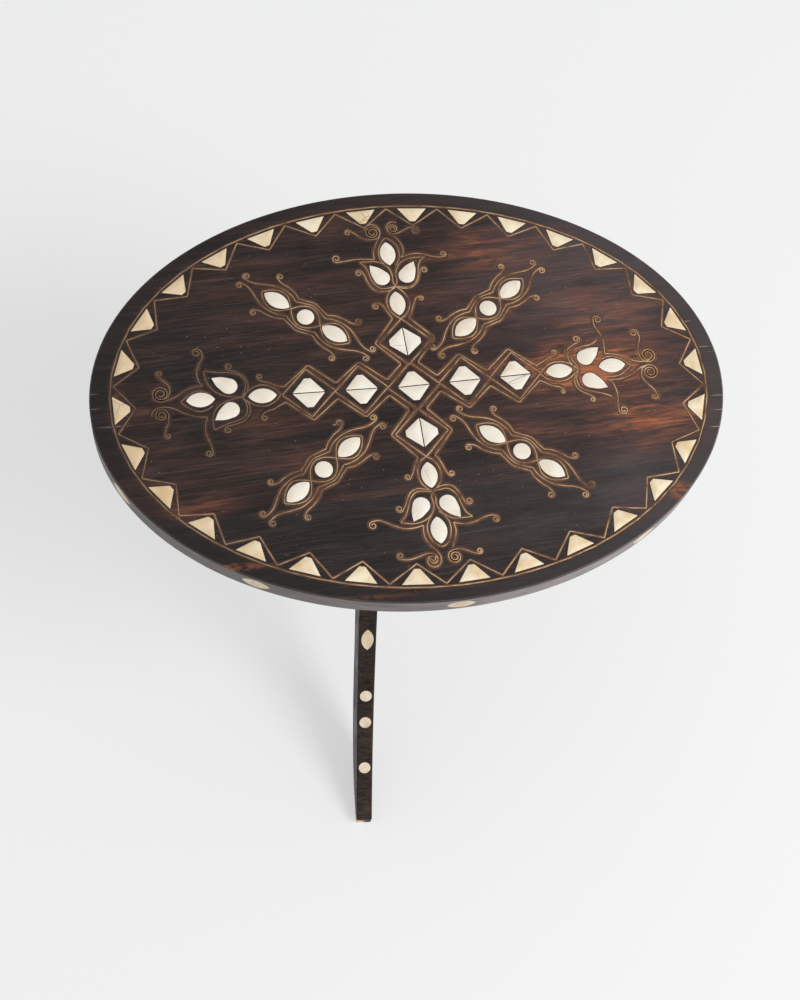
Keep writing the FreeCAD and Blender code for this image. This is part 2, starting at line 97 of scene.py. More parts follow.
# Wire, mastic and stain, in millimetres. Shoulders are shares of a section's half width or rise.
wire_half_width = 0.43
wire_rise = 0.16
wire_sink = 0.3
wire_shoulder_width = 0.45
wire_shoulder_rise = 0.35
wire_step = 1.5
wire_wobble = 0.22
wire_end_taper = 0.5
wobble_reach = 9.0
wobble_between_wires = 1.7
turn_room_share = 0.85
stain_half_width = 2.6
stain_border_share = 0.6
stain_rise = 0.02
stain_edge_rise = 0.004
stain_shoulder = 0.6
stain_sink = 0.2
stain_lift = 0.003
stain_lift_count = 7
mastic_width = 0.75
mastic_overlap = 0.12
mastic_rise = 0.035
mastic_sink = 0.4
corner_round = 0.9
frame_round = 1.4
lozenge_round = 1.0

# Worn bone, in millimetres: its wall, its worn edge, and how its face rises, domes and tilts
bone_sink = 2.2
bone_edge = 0.3
bone_rise = 0.05
bone_dome_share = 1.6
bone_tilt = 0.0025
bone_seed = 7
sharp_angle = 42


# Places on the top

def on_top(spot, height=0.0, turn=pattern_turn):
    """A pattern point, in millimetres, as a place on the top, in metres."""
    angle = math.radians(turn)
    x = spot[0] * math.cos(angle) - spot[1] * math.sin(angle)
    y = spot[0] * math.sin(angle) + spot[1] * math.cos(angle)
    return top_middle + Vector((x, y, height)) * MM


def moved(points, place, heading=0.0, side=1):
    """Points turned to a heading and moved to a place; side -1 mirrors them first."""
    turn = Matrix.Rotation(math.radians(heading), 2)
    return [turn @ Vector((p[0], p[1] * side)) + Vector(place) for p in points]


def in_pattern(spots):
    """Points laid out with the oval, in the pattern's own turn."""
    return moved(spots, (0, 0), -pattern_turn)


def walk_oval(half, shares, drifts):
    """Angles of places on an oval, each at its share of the way round and then its drift further."""
    steps = 1440
    angles = [2 * math.pi * number / steps for number in range(steps + 1)]
    spots = [Vector((half[0] * math.cos(a), half[1] * math.sin(a))) for a in angles]
    walked = [0.0]
    for before, after in zip(spots, spots[1:]):
        walked.append(walked[-1] + (after - before).length)
    places = []
    for share, drift in zip(shares, drifts):
        goal = (drift + walked[-1] * share) % walked[-1]
        ahead = next(number for number, distance in enumerate(walked) if distance > goal)
        part = (goal - walked[ahead - 1]) / (walked[ahead] - walked[ahead - 1])
        places.append(angles[ahead - 1] + part * (angles[ahead] - angles[ahead - 1]))
    return places


def wave(drift, share):
    """The drift at a share of the way round, from the lengths of its cosine and sine waves."""
    turns = [2 * math.pi * share * (number + 1) for number in range(len(drift))]
    return sum(cosine * math.cos(turn) + sine * math.sin(turn) for (cosine, sine), turn in zip(drift, turns))


def border_places(count):
    """Foot and heading, in degrees, of equally spaced places on the border line, with their drift."""
    shares = [number / count for number in range(count)]
    drifts = [border_phase + wave(border_drift_along, share) for share in shares]
    places = []
    for share, angle in zip(shares, walk_oval(border_half, shares, drifts)):
        along = Vector((-border_half[0] * math.sin(angle), border_half[1] * math.cos(angle))).normalized()
        foot = Vector((border_half[0] * math.cos(angle), border_half[1] * math.sin(angle)))
        foot += Vector((along.y, -along.x)) * wave(border_drift_out, share)
        places.append((foot, math.degrees(math.atan2(along.y, along.x))))
    return places


# Lines

def arc(middle, radius, start, end, count=14):
    """Points along an arc, angles in degrees."""
    angles = [math.radians(start + (end - start) * number / count) for number in range(count + 1)]
    return [Vector((middle[0] + radius * math.cos(a), middle[1] + radius * math.sin(a))) for a in angles]


def smooth(points, parts=8):
    """A smooth line through the points."""
    points = [Vector(p) for p in points]
    ends = [points[0] * 2 - points[1]] + points + [points[-1] * 2 - points[-2]]
    line = []
    for a, b, c, d in zip(ends, ends[1:], ends[2:], ends[3:]):
        for number in range(parts):
            t = number / parts
            line.append(0.5 * (2 * b + (c - a) * t + (2 * a - 5 * b + 4 * c - d) * t * t
                               + (3 * b - a - 3 * c + d) * t * t * t))
    return line + [points[-1]]


def curl(line, side, radius, turns, close_share=0.28):
    """The line, ended in a spiral that winds to its left (side 1) or right (side -1), ever closer."""
    spot = line[-1]
    along = line[-1] - line[-2]
    heading = math.atan2(along.y, along.x)
    step = 15
    steps = round(turns * 360 / step)
    turn = math.radians(step)
    tail = []
    for number in range(steps):
        now = radius * (1 - (1 - close_share) * number / steps)
        heading += side * turn / 2
        spot = spot + Vector((math.cos(heading), math.sin(heading))) * (now * turn)
        heading += side * turn / 2
        tail.append(spot)
    return line + tail


def rounded(corners, radius, closed=False):
    """Straight runs with a small round at each corner."""
    corners = [Vector(p) for p in corners]
    line = []
    count = len(corners)
    for index, corner in enumerate(corners):
        if not closed and index in (0, count - 1):
            line.append(corner)
            continue
        before = (corners[index - 1] - corner).normalized() * radius
        after = (corners[(index + 1) % count] - corner).normalized() * radius
        for share in (0.0, 0.25, 0.5, 0.75, 1.0):
            a = corner + before * (1 - share)
            b = corner + after * share
            line.append(a.lerp(b, share))
    return line


def even(line, step, closed=False):
    """The line with its long runs divided, so that no run is longer than the step."""
    if closed:
        line = line + [line[0]]
    points = [line[0]]
    for before, after in zip(line, line[1:]):
        count = max(1, math.ceil((after - before).length / step))
        for number in range(1, count + 1):
            points.append(before.lerp(after, number / count))
    return points[:-1] if closed else points


# Outlines of the bone pieces, grown by a distance

def almond_arcs(size, grow):
    """Radius of an almond's two sides, how far their middles lie off its axis, and the half length."""
    half, side = size[0] / 2, size[1] / 2
    radius = (half * half + side * side) / (2 * side)
    off = radius - side
    return radius + grow, off, math.sqrt(max((radius + grow) ** 2 - off * off, 0.0))


def almond_outline(size, grow=0.0):
    radius, off, reach = almond_arcs(size, grow)
    start = math.degrees(math.atan2(off, reach))
    upper = arc((0, -off), radius, 180 - start, start)
    lower = arc((0, off), radius, -start, start - 180)
    return upper[:-1] + lower[:-1]


def disc_outline(radius, grow=0.0):
    return arc((0, 0), radius + grow, 0, 360, 40)[:-1]


def petal_outline(size, grow=0.0):
    tail = -size[0] / 2 - grow
    tip = size[0] / 2 + grow
    side = size[1] / 2 + grow
    wide = tail + petal_round_share * (tip - tail)
    round_radius = (side * side + (wide - tail) ** 2) / (2 * (wide - tail))
    start = math.degrees(math.asin(min(side / round_radius, 1.0)))
    back = arc((tail + round_radius, 0), round_radius, 360 - start, start)
    waist = (wide + tip) / 2
    upper = smooth([(wide, side), (waist, side * petal_bow_share), (tip, 0)], 4)
    lower = [Vector((p.x, -p.y)) for p in reversed(upper)]
    return back[:-1] + upper[:-1] + lower[:-1]


def triangle_outline(size, grow=0.0):
    base, height, blunt = size
    slope = math.atan2(height, (base - blunt) / 2)
    foot = base / 2 + grow * (1 / math.sin(slope) + 1 / math.tan(slope))
    head = blunt / 2 + grow * (1 / math.sin(slope) - 1 / math.tan(slope))
    return rounded([(-foot, -grow), (foot, -grow), (head, height + grow), (-head, height + grow)],
                   corner_round, True)


def out_along(heading, distance, across=0.0):
    return moved([(distance, across)], (0, 0), heading)[0]


def diamond_places():
    places = [(Vector((0, 0)), arm_headings[0])]
    for heading, count, pitch in zip(arm_headings, arm_diamonds, diamond_pitches):
        for number in range(1, count + 1):
            places.append((out_along(heading, number * pitch), heading))
    return places


def diamonds(grow):
    half = (diamond_length, (diamond_height - diamond_split) / 2, diamond_blunt)
    outlines = []
    for middle, heading in diamond_places():
        for flip in (0, 180):
            outline = moved(triangle_outline(half, grow), (0, diamond_split / 2))
            outlines.append(moved(outline, middle, heading + flip))
    return outlines


def arm_almonds(grow):
    return [moved(almond_outline(arm_almond, grow), out_along(heading, reach), heading)
            for reaches in (inner_almond_reaches, outer_almond_reaches)
            for heading, reach in zip(arm_headings, reaches)]


def petals(grow):
    return [moved(petal_outline(petal, grow), out_along(heading, reach, side * petal_spread + shift),
                  heading + side * petal_lean)
            for heading, reach, shift in zip(arm_headings, petal_reaches, petal_shifts) for side in (-1, 1)]


def group_almonds(grow):
    outlines = []
    for place, heading, step in zip(group_places, group_headings, group_steps):
        for distance in (-step, step):
            middle = Vector(place) + out_along(heading, distance)
            outlines.append(moved(almond_outline(group_almond, grow), middle, heading))
    return outlines


def discs(grow):
    return [moved(disc_outline(disc_radius, grow), place) for place in group_places]


def triangles(grow):
    seated = moved(triangle_outline(triangle, grow), (0, triangle_seat))
    return [in_pattern(moved(seated, foot, heading)) for foot, heading in border_places(border_count)]


# Meshes

def turns_right(outline):
    """True where an outline runs clockwise."""
    area = sum(a.x * b.y - b.x * a.y for a, b in zip(outline, outline[1:] + outline[:1]))
    return area < 0


def new_object(name, data):
    made = bpy.data.objects.new(name, data)
    bpy.context.scene.collection.objects.link(made)
    return made


def new_piece(name, verts, faces, material, fade=None):
    mesh = bpy.data.meshes.new(name)
    mesh.from_pydata(verts, [], faces)
    if fade is not None:
        layer = mesh.attributes.new("fade", "FLOAT", "POINT")
        layer.data.foreach_set("value", fade)
    mesh.materials.append(material)
    mesh.shade_smooth()
    mesh.set_sharp_from_angle(angle=math.radians(sharp_angle))
    piece = new_object(name, mesh)
    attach(piece, "root")
    return piece


def sweep(lines, section, levels=None, wobble=0.0, lift=0.0, taper=1.0):
    """Solid bands along the lines, narrower in tight turns. The section is a list of (across, up), and the
    levels are its fade values."""
    verts, faces, fade = [], [], []
    size = len(section)
    half = max(across for across, _ in section)
    for number, (line, closed) in enumerate(lines):
        first = len(verts)
        line = even(line, wire_step, closed)
        count = len(line)
        for index, spot in enumerate(line):
            before = line[index - 1] if closed or index else spot
            after = line[(index + 1) % count] if closed or index < count - 1 else spot
            back, ahead = spot - before, after - spot
            arriving = (back if back.length else ahead).normalized()
            leaving = ahead.normalized() if ahead.length else arriving
            along = (arriving + leaving).normalized()
            left = Vector((-along.y, along.x))
            mitre = 1 / max(left.dot(Vector((-leaving.y, leaving.x))), 0.5)
            seat = Vector((spot.x / wobble_reach, spot.y / wobble_reach, number * wobble_between_wires))
            spot = spot + left * (wobble * noise.noise(seat))
            bend = arriving.angle(leaving) if (after - before).length and not closed else 0.0
            room = turn_room_share * (after - before).length / (2 * bend * half) if bend else 1.0
            wide = min(mitre, room) * (taper if not closed and index in (0, count - 1) else 1.0)
            for (across, up), level in zip(section, levels or [0.0] * size):
                verts.append(on_top(spot + left * (across * wide), up + lift * (number % stain_lift_count)))
                fade.append(level)
        rings = count if closed else count - 1
        for ring in range(rings):
            here = first + ring * size
            there = first + (ring + 1) % count * size
            for side in range(size):
                follow = (side + 1) % size
                faces.append((here + side, here + follow, there + follow, there + side))
        if not closed:
            faces.append(tuple(first + side for side in reversed(range(size))))
            faces.append(tuple(first + (count - 1) * size + side for side in range(size)))
    return verts, faces, fade


def bone_mesh(outlines, insets, wander, place):
    """Let-in pieces, each with a wall, a worn edge and a slightly domed and tilted face."""
    verts, faces = [], []
    for outer, inner in zip(outlines, insets):
        if turns_right(outer):
            outer, inner = outer[::-1], inner[::-1]
        tilt = Vector((wander.uniform(-1, 1), wander.uniform(-1, 1))) * bone_tilt
        middle = sum(outer, Vector((0, 0))) / len(outer)
        first = len(verts)
        count = len(outer)
        for line, height in ((outer, -bone_sink), (outer, -bone_edge / 2), (inner, bone_rise)):
            for spot in line:
                slope = tilt.dot(spot - middle) if height > -bone_sink else 0.0
                verts.append(place(spot, height + slope))
        verts.append(place(middle, bone_rise * bone_dome_share))
        verts.append(place(middle, -bone_sink))
        for ring in (0, 1):
            for side in range(count):
                follow = (side + 1) % count
                low = first + ring * count
                faces.append((low + side, low + follow, low + count + follow, low + count + side))
        for side in range(count):
            follow = (side + 1) % count
            faces.append((first + 2 * count + side, first + 2 * count + follow, first + 3 * count))
            faces.append((first + follow, first + side, first + 3 * count + 1))
    return verts, faces


# Wires of the scrolls, drawn one by one. Each is a run of places on the top, then the curls at its end and at
# its start, where it has them. A curl is its side (1 winds to the left, seen along the way out), its first
# radius and its turns.

# The tails of the wire frames round the diamonds: for each arm the one on its left and the one on its right,
# seen along the arm, each with the curl at its end

FRAME_TAILS = (
    (([(117, 12.5), (123, 15.8), (128.8, 17.3)], (1, 2.8, 1.5)),
     ([(114.6, -8), (120.5, -12), (127, -14), (130.3, -16.6)], (-1, 2.2, 1.4))),
    (([(-9, 69.5), (-11.8, 75), (-14.6, 81), (-18, 84), (-21.2, 83.8)], (1, 2.8, 1.4)),
     ([(8.5, 70), (11, 76), (13.5, 82), (16, 86.5), (19, 87.8)], (-1, 2.5, 1.4))),
    (([(-117, -7.2), (-123, -10.2), (-129.5, -12), (-132.8, -15.2)], (1, 2.8, 1.3)),
     ([(-117.6, 12), (-124, 15.6), (-130, 17.6), (-132.4, 20)], (-1, 2.6, 1.4))),
    (([(9.3, -69.6), (12, -76), (13.8, -82), (16, -86.2)], (1, 2.7, 1.5)),
     ([(-8.5, -69.6), (-11.3, -75), (-13.8, -81), (-16.3, -85.8)], (-1, 2.8, 1.5))))

# All the single wires of the four arms
SCROLLS = (
    # Right arm: round the inner almond and the petals
    ([(112, 0.5), (116, 5), (122, 9.3), (130, 10.9), (138, 9), (143, 6), (147.5, 1.5)],),
    ([(112, 0.5), (117, -4.5), (123, -7.4), (129, -8.2), (136, -7), (141, -3.5), (147.5, 1.5)],),
    ([(147.5, 1.5), (146, 6), (143.4, 11), (143, 16), (146, 20.5), (152, 23), (162, 25), (168, 28),
      (169.5, 31)],),
    ([(146.5, 1.5), (143, 6), (140.4, 11), (139.5, 17), (141.5, 22.5), (147, 26), (152, 28.3)],
     (1, 3.4, 1.4)),
    ([(144, -3), (141.2, -9), (142, -16), (146, -20.5), (151, -23.5), (155, -26.5)], (-1, 2.5, 1.4)),
    ([(147.5, 1.5), (144.4, -4), (143.5, -9), (144.5, -15), (149, -19), (156, -21.5), (164, -24),
      (171, -27.5)],),
    # Right arm: side wires, outer almond and spirals
    ([(173.5, 14.7), (174.6, 22), (174.8, 29), (172.6, 37), (170, 44), (170, 49)], (-1, 3.9, 1.4)),
    ([(173.5, 14.7), (181, 13.7), (188, 11.5), (194, 7.5), (200, 4.5), (206, 3.6), (212, 4.2)],),
    ([(170, 9.5), (176, 11.5), (182, 10.5), (188, 7), (194.5, 0.8)],),
    ([(171, -8), (176, -8.5), (182, -7.5), (188, -4.5), (194.5, 0.8)],),
    ([(207.6, 33), (208.4, 28), (206, 21), (203.6, 14), (205, 8)], (1, 7, 2.2), (1, 3.6, 1.4)),
    ([(173, -11.2), (180, -11.6), (188, -10), (195, -7), (202, -2.6), (208, -0.5)], (-1, 7, 2.1)),
    ([(171, -11), (174.4, -14), (176.3, -21), (176.5, -28), (175, -35), (174.6, -41)], (1, 4.2, 1.5)),
    ([(208, -1), (204, -3.4), (202.4, -9), (203, -14), (206.5, -19.5), (210.4, -25), (212, -30)],
     (-1, 2.9, 1.2)),
    # Left arm: round the inner almond and the petals
    ([(-114.5, 3.2), (-119, 9), (-125, 13), (-131, 14), (-138, 12), (-143.5, 8), (-148, 4.2)],),
    ([(-114.5, 3.2), (-119, -2), (-125, -5.5), (-131, -6.5), (-138, -4.5), (-143, -0.5), (-148, 4.2)],),
    ([(-148, 4.2), (-145, 9), (-143.3, 15), (-144.5, 21), (-149, 26), (-157, 28.5), (-166, 29.5),
      (-177, 32)],),
    ([(-177, 32), (-176.6, 25), (-175, 19), (-171, 12.5), (-165, 8), (-158, 5.5), (-148, 4.2)],),
    ([(-146.5, 3.5), (-142.6, 9), (-141.4, 16), (-143.6, 23), (-149.6, 28.4), (-156, 30.6)],
     (-1, 3.2, 1.3)),
    ([(-148, 4), (-145, -1), (-144.3, -8), (-147, -14), (-153, -17.5), (-161, -19.5), (-174, -24.5)],),
    ([(-174, -24.5), (-174.3, -18), (-173, -10), (-169, -3.5), (-163, 0.5), (-156, 2.5), (-148, 4)],),
    ([(-146.5, 3), (-142.6, -3), (-142.2, -10), (-146, -16.5), (-152, -20), (-158, -21.4), (-163, -22.4)],
     (1, 3.2, 1.4)),
    # Left arm: side wires, outer almond and spirals
    ([(-179.5, 17.8), (-182.5, 23), (-183, 31), (-180.5, 38.5), (-176.8, 45), (-177, 50)], (1, 4.2, 1.4)),
    ([(-179.5, 17.8), (-187, 17.4), (-194, 15), (-201, 11), (-207, 8), (-213, 6.4)], (-1, 7.4, 2.2)),
    ([(-173, 9), (-179, 12.5), (-185, 13.2), (-192, 10.5), (-199.5, 4)],),
    ([(-172.5, -2), (-179, -5.5), (-185, -6), (-192, -2.5), (-199.5, 4)],),
    ([(-216.3, 31), (-212, 26), (-208, 21), (-207.3, 16), (-209, 11), (-213, 8)], None, (-1, 2.6, 1.3)),
    ([(-178.5, -12), (-186, -11), (-193, -8.5), (-200, -4.5), (-206, -1), (-212, 0.8), (-218, 0.8),
      (-223, -2.2), (-224.4, -7)],),
    ([(-215.4, -25), (-213.5, -19), (-211, -13), (-210.5, -7)], (1, 5.6, 2.0), (1, 2.6, 1.4)),
    ([(-178.5, -12), (-180.5, -18), (-181.3, -25), (-180, -32), (-178, -39), (-177.3, -45)],
     (-1, 3.2, 1.4)),
    # Back arm
    ([(-1.2, 66.7), (-6, 71), (-9.8, 77), (-10.7, 84), (-9, 91), (-5, 96.5), (-0.5, 99.6)],),
    ([(-1.2, 66.7), (4, 70.5), (7.8, 76), (9.6, 82.5), (7.8, 89), (4.5, 94.5), (-0.5, 99.6)],),
    ([(-0.5, 99.6), (-2, 105), (-1.7, 112), (-3.5, 118.5), (-8, 123.8), (-14.5, 126.6), (-22, 127),
      (-28.8, 127.2)],),
    ([(-28.8, 127.2), (-24.5, 122), (-22.3, 115), (-20.6, 107.5), (-17, 101.5), (-11.5, 98.3),
      (-0.5, 99.6)],),
    ([(-1, 98.6), (-6, 96), (-12, 95.2), (-17.5, 96.2), (-21.8, 100), (-24.6, 106), (-26.2, 112.5),
      (-28.2, 117)], (1, 3, 1.4)),
    ([(-0.5, 99.6), (1.5, 105), (1.6, 111.5), (3.4, 118), (7, 123), (12.5, 126.5), (18.5, 127.6),
      (30.5, 127.8)],),
    ([(30.5, 127.8), (26, 124.5), (23.3, 119), (21.8, 112), (19.5, 104.5), (15, 99.5), (9.5, 98),
      (-0.5, 99.6)],),
    ([(1, 98.8), (6, 97.2), (11.5, 97), (16.5, 99.3), (20.3, 104), (22.6, 110), (24.6, 115.2)],
     (-1, 3, 1.6)),
    ([(-15, 129), (-22, 129.7), (-31, 130.4), (-40, 129.6), (-48, 128.9)], (-1, 3.8, 1.3)),
    ([(-15, 129), (-15, 135), (-13, 141), (-10, 147), (-7.2, 152), (-5.8, 157.5), (-7.5, 162.8),
      (-12, 165.3), (-17, 164), (-20, 160)],),
    ([(-33, 160.6), (-28.5, 157), (-24, 152.5), (-18.5, 149.8), (-13, 149.8)], (1, 7, 2.3), (1, 2.8, 1.4)),
    ([(9, 129), (14, 130.8), (21, 132), (28.5, 131), (36, 128), (42, 126.5), (47, 126.4)], (1, 3, 1.5)),
    ([(9, 129), (11.6, 133), (12, 139), (10.6, 145), (7, 150.5), (3, 154), (0.6, 159), (1.6, 164),
      (6, 166.8), (10.5, 165.5)],),
    ([(25.5, 159.6), (20.5, 159.3), (15.5, 157), (10.8, 154.8), (7, 154.4)], (-1, 5, 1.9), (-1, 3.6, 1.4)),
    ([(-4, 119.5), (-8.5, 125), (-10.7, 131.5), (-10, 138.5), (-7, 145), (-2.3, 150.5)],),
    ([(3, 121), (6.8, 127.5), (8.2, 134), (7, 141), (3, 147), (-2.3, 150.5)],),
    # Front arm
    ([(-0.4, -67.7), (-5.5, -71), (-9.2, -77), (-10, -84.5), (-8.3, -91.5), (-4.5, -96.5),
      (-0.5, -100.3)],),
    ([(-0.4, -67.7), (4.5, -71), (8.3, -77), (9.5, -84), (8, -91), (4.3, -96.5), (-0.5, -100.3)],),
    ([(-0.5, -100.3), (-1.8, -105.5), (-1.2, -112), (-3.2, -118.5), (-8, -123.8), (-15, -126.8),
      (-23, -127), (-31.5, -125)],),
    ([(-31.5, -125), (-27, -120.5), (-23.3, -113.5), (-20.6, -106.5), (-16.8, -101), (-11.5, -98.6),
      (-0.5, -100.3)],),
    ([(-1.5, -99), (-7, -97), (-13, -96.3), (-18.3, -98.6), (-21.8, -103.5), (-24.5, -109.5),
      (-27.8, -114.5)], (-1, 3, 1.5)),
    ([(-0.5, -100.3), (1.3, -105.5), (1.2, -112), (4, -118.5), (9, -123.6), (15.5, -126.2), (29.5, -126)],),
    ([(29.5, -126), (24.8, -121.5), (22.3, -114.5), (20.2, -107), (16.5, -101.2), (11, -98.4),
      (-0.5, -100.3)],),
    ([(1, -98.8), (6.5, -96), (12.5, -95.3), (17.6, -97), (21.3, -102), (23.5, -108), (25.8, -113)],
     (1, 3.2, 1.5)),
    ([(-12.8, -129.5), (-20, -131), (-28, -131), (-36, -128), (-43, -124), (-49, -121.2), (-54.5, -121.5)],
     (1, 3.6, 1.3)),
    ([(-12.8, -129.5), (-13.8, -135), (-13.3, -141), (-10.3, -147.5), (-6, -152.5), (-3.3, -157.5),
      (-3.2, -161)], (-1, 6.4, 1.5)),
    ([(-36.5, -157.3), (-30, -158.5), (-22, -157), (-14.5, -154.8), (-9.5, -155.3)],
     (-1, 4.3, 1.8), (-1, 2.8, 1.4)),
    ([(12.5, -129.5), (17, -131), (24, -132), (32, -130.6), (39, -127.8), (45, -126.6), (49, -127.4)],
     (-1, 3, 1.5)),
    ([(12.5, -129.5), (13.5, -136), (12, -143), (9.5, -148.5), (8.3, -152.5)],),
    ([(29, -159.6), (25, -158.4), (20, -155.8), (14, -153.4), (8.5, -153.8)], (1, 6, 2), (1, 2.6, 1.5)),
    ([(-4, -120), (-8, -126), (-10, -132), (-9.7, -138.5), (-7, -145), (-1, -150.3)],),
    ([(2, -118), (6.4, -123), (9.4, -129), (9.4, -136), (7.6, -142.6), (4, -148), (-1, -150.3)],))


def drawn(points, end_curl=None, start_curl=None):
    """A smooth line through the places, with a curl at the ends that have one."""
    line = smooth(points)
    if end_curl:
        line = curl(line, *end_curl)
    if start_curl:
        line = curl(line[::-1], *start_curl)[::-1]
    return line


def frame_side(arm, side):
    """The wire outside the diamonds of an arm, on one side, from the middle of the top out."""
    pitch = diamond_pitches[arm] * frame_draws[arm]
    spots = [(pitch / 2, frame_valley)]
    for number in range(1, arm_diamonds[arm] + 1):
        spots += [(pitch * number, frame_peak), (pitch * (number + 0.5), frame_valley)]
    corners = moved(spots, (0, 0), arm_headings[arm], side)
    tail, end_curl = FRAME_TAILS[arm][0 if side > 0 else 1]
    return corners, curl(smooth([corners[-1]] + tail), *end_curl)


def quadrant_frame(arm):
    """The outer wire round the diamonds between an arm and the next one, ending in a scroll on both."""
    here, here_tail = frame_side(arm, 1)
    there, there_tail = frame_side((arm + 1) % len(arm_headings), -1)
    return there_tail[:0:-1] + rounded(there[::-1] + here, frame_round) + here_tail[1:]


# Wires of a corner group, on its own axis: half of the figure eight, and half of the two wires outside it,
# each a side run that ends in a curl and the middle of the stretch that passes the disc

GROUP_EIGHT = ((45.5, 0), (40.0, 5.6), (34.5, 8.9), (29.0, 10.0), (23.5, 8.4), (18.6, 4.0), (15.0, 0),
               (11.4, -4.6), (6.4, -8.8))
GROUP_EIGHT_MIDDLE = (0, -10.7)
GROUP_NEAR = ((15.0, 8.4), (21.0, 11.2), (29.0, 12.6), (38.0, 11.6), (46.0, 8.2), (53.0, 4.4), (59.0, 2.6),
              (64.6, 2.6))
GROUP_FAR = ((15.0, 12.3), (21.0, 15.4), (29.0, 17.0), (36.0, 17.2), (41.0, 19.2))
group_near_middle = 13.0
group_far_middle = 16.0
group_near_curl = 3.0
group_far_curl = 2.8
group_curl_turns = 1.5
group_shoulder_place = 8.6
group_shoulder_drop = 2.2


def group_wires(place, heading):
    """The wires of a corner group: a figure eight round its three pieces, and two wires outside it."""
    lines = []
    mirrored = tuple((-x, y) for x, y in reversed(GROUP_EIGHT))
    eight = smooth(GROUP_EIGHT + (GROUP_EIGHT_MIDDLE,) + mirrored)
    outer_wires = ((smooth(GROUP_NEAR), group_near_middle, group_near_curl),
                   (smooth(GROUP_FAR), group_far_middle, group_far_curl))
    for side in (-1, 1):
        lines.append([(x, y * side) for x, y in eight])
        for tail, middle, radius in outer_wires:
            start, low = tail[0], middle - group_shoulder_drop
            over = smooth([(-start.x, start.y), (-group_shoulder_place, low), (0, middle),
                           (group_shoulder_place, low), (start.x, start.y)])
            right = curl(tail, 1, radius, group_curl_turns)
            left = [Vector((-p.x, p.y)) for p in right]
            line = left[:0:-1] + over + right[1:]
            lines.append([Vector((p.x, p.y * side)) for p in line])
    return [moved(line, place, heading) for line in lines]


def lozenges():
    corners = [(lozenge_reach, 0), (0, lozenge_reach), (-lozenge_reach, 0), (0, -lozenge_reach)]
    return [(rounded(moved(corners, middle), lozenge_round, True), True) for middle, _ in diamond_places()]


def scrolls():
    """All the wires of the middle of the top."""
    lines = [quadrant_frame(arm) for arm in range(len(arm_headings))]
    lines += [drawn(*scroll) for scroll in SCROLLS]
    for place, heading in zip(group_places, group_headings):
        lines += group_wires(place, heading)
    return [(line, False) for line in lines]


def border_line():
    return [(in_pattern([foot for foot, _ in border_places(4 * border_count)[1::2]]), True)]


def zigzag():
    corners = []
    for number, (foot, heading) in enumerate(border_places(2 * border_count)):
        inset = zigzag_depth if number % 2 == 0 else zigzag_inset
        corners += moved([(0, inset)], foot, heading)
    return [(rounded(in_pattern(corners), corner_round, True), True)]


# Materials

def material_of(name, fixed):
    """A new material, its node tree and its shader, which has the fixed values."""
    made = bpy.data.materials.new(name)
    made.use_nodes = True
    shader = made.node_tree.nodes["Principled BSDF"]
    for key, value in fixed.items():
        shader.inputs[key].default_value = value
    return made, made.node_tree, shader


def add(tree, kind, inputs=None, **settings):
    """A node with its settings and inputs; an input is a value or another node's socket."""
    made = tree.nodes.new("ShaderNode" + kind)
    for key, value in settings.items():
        setattr(made, key, value)
    for key, value in (inputs or {}).items():
        if isinstance(value, bpy.types.NodeSocket):
            tree.links.new(value, made.inputs[key])
        else:
            made.inputs[key].default_value = value
    return made


def calc(tree, operation, first, second=0.0):
    return add(tree, "Math", {0: first, 1: second}, operation=operation).outputs[0]


def mix(tree, share, first, second, mode="MIX"):
    made = add(tree, "Mix", {0: share, 6: first, 7: second}, data_type="RGBA", blend_type=mode)
    return made.outputs[2]


def mask(tree, value, low, high, to_low=0.0, to_high=1.0):
    """A soft step: to_low under the low value, to_high over the high one."""
    return add(tree, "MapRange", {0: value, 1: low, 2: high, 3: to_low, 4: to_high},
               interpolation_type="SMOOTHSTEP").outputs[0]


def places_of(tree, scale, turn=0.0, shift=(0, 0, 0)):
    """Object coordinates, turned about Z and scaled, so that noise can run along the grain."""
    here = add(tree, "TexCoord").outputs["Object"]
    turned = add(tree, "Mapping", {"Vector": here, "Rotation": (0, 0, math.radians(-turn)),
                                   "Location": shift})
    return add(tree, "Mapping", {"Vector": turned.outputs[0], "Scale": scale}).outputs[0]


def noise_of(tree, scale, detail=4.0, rough=0.55, warp=0.0, turn=0.0, shift=(0, 0, 0)):
    place = places_of(tree, scale, turn, shift)
    return add(tree, "TexNoise", {"Vector": place, "Scale": 1.0, "Detail": detail, "Roughness": rough,
                                  "Distortion": warp}).outputs[0]


def ramp(tree, value, stops):
    made = add(tree, "ValToRGB", {0: value})
    points = made.color_ramp.elements
    while len(points) < len(stops):
        points.new(0.5)
    for point, (place, colour) in zip(points, stops):
        point.position = place
        point.color = colour
    return made.outputs[0]


def dress(tree, shader, colour, rough, height, distance):
    """Put a colour, a roughness and a relief on the shader."""
    relief = add(tree, "Bump", {"Height": height, "Distance": distance}).outputs[0]
    for key, source in (("Base Color", colour), ("Roughness", rough), ("Normal", relief)):
        tree.links.new(source, shader.inputs[key])


def colour_of(*levels):
    """Linear colour, with full alpha, from screen levels of 0 to 255."""
    made = []
    for level in levels:
        share = level / 255
        made.append(share / 12.92 if share <= 0.04045 else ((share + 0.055) / 1.055) ** 2.4)
    return (*made, 1.0)


def tones_of(*stops):
    """The colours along a ramp, from stops of a place and three screen levels."""
    return [(place, colour_of(*levels)) for place, *levels in stops]


